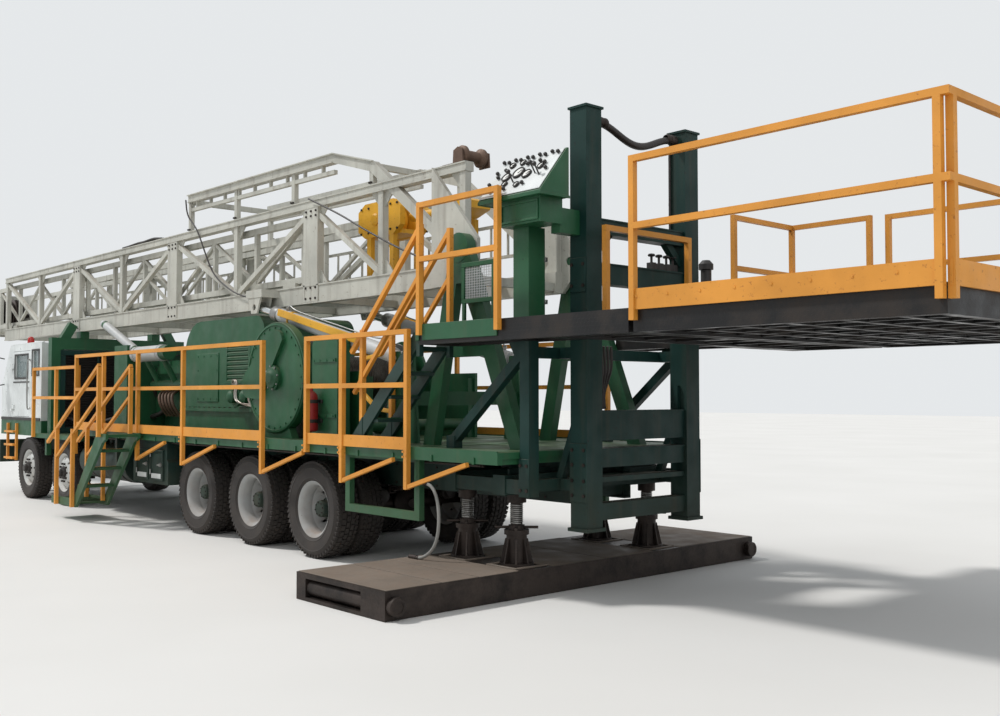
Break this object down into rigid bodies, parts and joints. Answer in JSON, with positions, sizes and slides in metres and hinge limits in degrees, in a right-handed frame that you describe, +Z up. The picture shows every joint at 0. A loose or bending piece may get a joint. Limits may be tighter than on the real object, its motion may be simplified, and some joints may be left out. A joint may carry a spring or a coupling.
{
  "type": "workover rig",
  "caption": "Truck-mounted workover rig with a telescoping lattice mast laid forward over the cab, railed deck, driller's console, folding work floor and screw jacks on a base beam.",
  "frame": {"origin": "on the ground, below the centre of the rig's bounding box as it stands with the mast down and the work floor out", "axes": "-X towards the cab and the mast's crown, +X towards the rear work floor, -Y towards the driller's side, +Z up"},
  "size_m": [22.85, 5.1504, 4.735],
  "materials": {
    "green_paint": "gloss green paint, dusty",
    "dark_green_paint": "weathered dark green paint",
    "orange_paint": "orange-yellow enamel",
    "yellow_paint": "yellow enamel",
    "white_paint": "white enamel",
    "mast_paint": "dirty white enamel",
    "dark_steel": "oily bare steel",
    "bright_steel": "worked steel",
    "rod_chrome": "hard chrome",
    "silver_paint": "silver paint",
    "tyre": "dusty black rubber",
    "cab_glass": "clear tinted glass",
    "cab_trim": "matt black trim",
    "hose": "dusty black hose rubber",
    "floor_steel": "oily dark steel plate"
  },
  "bodies": {
    "carrier": {"chassis_frame": "dark_green_paint", "axles": "dark_steel", "air_hose": "hose", "column_hose": "hose", "deck": "green_paint", "deck_railings": "orange_paint", "cab_shell": "white_paint", "cab_glass": "cab_glass", "cab_interior": "cab_trim", "side_lockers": "dark_green_paint", "engine": "green_paint", "drive_case": "green_paint", "drawworks_frame": "green_paint", "mast_supports": "green_paint", "rear_frame": "dark_green_paint", "driller_console": "green_paint", "work_floor": "floor_steel", "floor_railings": "orange_paint", "screw_jacks": "dark_steel", "base_beam": "dark_steel"},
    "door_left": {"cab_door_left": "white_paint"},
    "door_right": {"cab_door_right": "white_paint"},
    "drum": {"drawworks_drum": "bright_steel"},
    "rear_platform": {"folding_platform": "floor_steel", "folding_railings": "orange_paint"},
    "mast": {"mast_lower": "mast_paint", "travelling_block": "yellow_paint"},
    "mast_top": {"mast_upper": "mast_paint"},
    "sheaves": {"crown_sheaves": "dark_steel"},
    "raising_barrels": {"cylinder_barrels": "silver_paint"},
    "raising_rods": {"cylinder_rods": "rod_chrome"},
    "knuckle_1_left": {"knuckle_1_left": "dark_steel"},
    "knuckle_1_right": {"knuckle_1_right": "dark_steel"},
    "knuckle_2_left": {"knuckle_2_left": "dark_steel"},
    "knuckle_2_right": {"knuckle_2_right": "dark_steel"},
    "wheel_1_left": {"wheel_1_left": "tyre"},
    "wheel_1_right": {"wheel_1_right": "tyre"},
    "wheel_2_left": {"wheel_2_left": "tyre"},
    "wheel_2_right": {"wheel_2_right": "tyre"},
    "wheel_3_left": {"wheel_3_left": "tyre"},
    "wheel_3_right": {"wheel_3_right": "tyre"},
    "wheel_4_left": {"wheel_4_left": "tyre"},
    "wheel_4_right": {"wheel_4_right": "tyre"},
    "wheel_5_left": {"wheel_5_left": "tyre"},
    "wheel_5_right": {"wheel_5_right": "tyre"}
  },
  "joints": [
    {"name": "door_left_hinge", "type": "hinge", "parent": "carrier", "child": "door_left", "pos_m": [-6.28, -1.21115, 1.9], "axis": [0, 0, -1], "range_deg": [0, 70]},
    {"name": "door_right_hinge", "type": "hinge", "parent": "carrier", "child": "door_right", "pos_m": [-6.28, 1.26085, 1.9], "axis": [0, 0, 1], "range_deg": [0, 70]},
    {"name": "steer_1_left", "type": "hinge", "parent": "carrier", "child": "knuckle_1_left", "pos_m": [-5.305, -0.76515, 0.54], "axis": [0, 0, 1], "range_deg": [-30, 30]},
    {"name": "spin_1_left", "type": "hinge", "parent": "knuckle_1_left", "child": "wheel_1_left", "pos_m": [-5.305, -1.08515, 0.54], "axis": [0, 1, 0], "continuous": true},
    {"name": "steer_1_right", "type": "hinge", "parent": "carrier", "child": "knuckle_1_right", "pos_m": [-5.305, 0.81485, 0.54], "axis": [0, 0, 1], "range_deg": [-30, 30]},
    {"name": "spin_1_right", "type": "hinge", "parent": "knuckle_1_right", "child": "wheel_1_right", "pos_m": [-5.305, 1.13485, 0.54], "axis": [0, 1, 0], "continuous": true},
    {"name": "steer_2_left", "type": "hinge", "parent": "carrier", "child": "knuckle_2_left", "pos_m": [-3.595, -0.76515, 0.54], "axis": [0, 0, 1], "range_deg": [-24, 24]},
    {"name": "spin_2_left", "type": "hinge", "parent": "knuckle_2_left", "child": "wheel_2_left", "pos_m": [-3.595, -1.08515, 0.54], "axis": [0, 1, 0], "continuous": true},
    {"name": "steer_2_right", "type": "hinge", "parent": "carrier", "child": "knuckle_2_right", "pos_m": [-3.595, 0.81485, 0.54], "axis": [0, 0, 1], "range_deg": [-24, 24]},
    {"name": "spin_2_right", "type": "hinge", "parent": "knuckle_2_right", "child": "wheel_2_right", "pos_m": [-3.595, 1.13485, 0.54], "axis": [0, 1, 0], "continuous": true},
    {"name": "spin_3_left", "type": "hinge", "parent": "carrier", "child": "wheel_3_left", "pos_m": [1.255, -0.91515, 0.54], "axis": [0, 1, 0], "continuous": true},
    {"name": "spin_3_right", "type": "hinge", "parent": "carrier", "child": "wheel_3_right", "pos_m": [1.255, 0.96485, 0.54], "axis": [0, 1, 0], "continuous": true},
    {"name": "spin_4_left", "type": "hinge", "parent": "carrier", "child": "wheel_4_left", "pos_m": [2.665, -0.91515, 0.54], "axis": [0, 1, 0], "continuous": true},
    {"name": "spin_4_right", "type": "hinge", "parent": "carrier", "child": "wheel_4_right", "pos_m": [2.665, 0.96485, 0.54], "axis": [0, 1, 0], "continuous": true},
    {"name": "spin_5_left", "type": "hinge", "parent": "carrier", "child": "wheel_5_left", "pos_m": [4.075, -0.91515, 0.54], "axis": [0, 1, 0], "continuous": true},
    {"name": "spin_5_right", "type": "hinge", "parent": "carrier", "child": "wheel_5_right", "pos_m": [4.075, 0.96485, 0.54], "axis": [0, 1, 0], "continuous": true},
    {"name": "mast_raise", "type": "hinge", "parent": "carrier", "child": "mast", "pos_m": [6.175, 0.02485, 3.28], "axis": [0, 1, 0], "range_deg": [0, 90]},
    {"name": "mast_extend", "type": "slide", "parent": "mast", "child": "mast_top", "axis": [-1, 0, 0], "range_m": [0, 10]},
    {"name": "sheave_spin", "type": "hinge", "parent": "mast_top", "child": "sheaves", "pos_m": [-10.975, 0.02485, 3.635], "axis": [0, 1, 0], "continuous": true},
    {"name": "drum_spin", "type": "hinge", "parent": "carrier", "child": "drum", "pos_m": [3.025, 0.02485, 2.02], "axis": [0, 1, 0], "continuous": true},
    {"name": "platform_fold", "type": "hinge", "parent": "carrier", "child": "rear_platform", "pos_m": [8.875, 0.42485, 2.512], "axis": [0, -1, 0], "range_deg": [0, 90]},
    {"name": "barrel_tilt", "type": "hinge", "parent": "carrier", "child": "raising_barrels", "pos_m": [5.225, 0.02485, 2.2], "axis": [0, 1, 0], "range_deg": [0, 83.28]},
    {"name": "rod_stroke", "type": "slide", "parent": "raising_barrels", "child": "raising_rods", "axis": [-0.9725, 0, 0.2328], "range_m": [0, 1.979]}
  ],
  "couplings": [
    {"joint": "barrel_tilt", "follows": "mast_raise", "ratio": 0.92529},
    {"joint": "rod_stroke", "follows": "mast_raise", "m_per_rad": 1.26},
    {"joint": "steer_1_right", "follows": "steer_1_left", "ratio": 1},
    {"joint": "steer_2_left", "follows": "steer_1_left", "ratio": 0.8},
    {"joint": "steer_2_right", "follows": "steer_1_left", "ratio": 0.8}
  ]
}
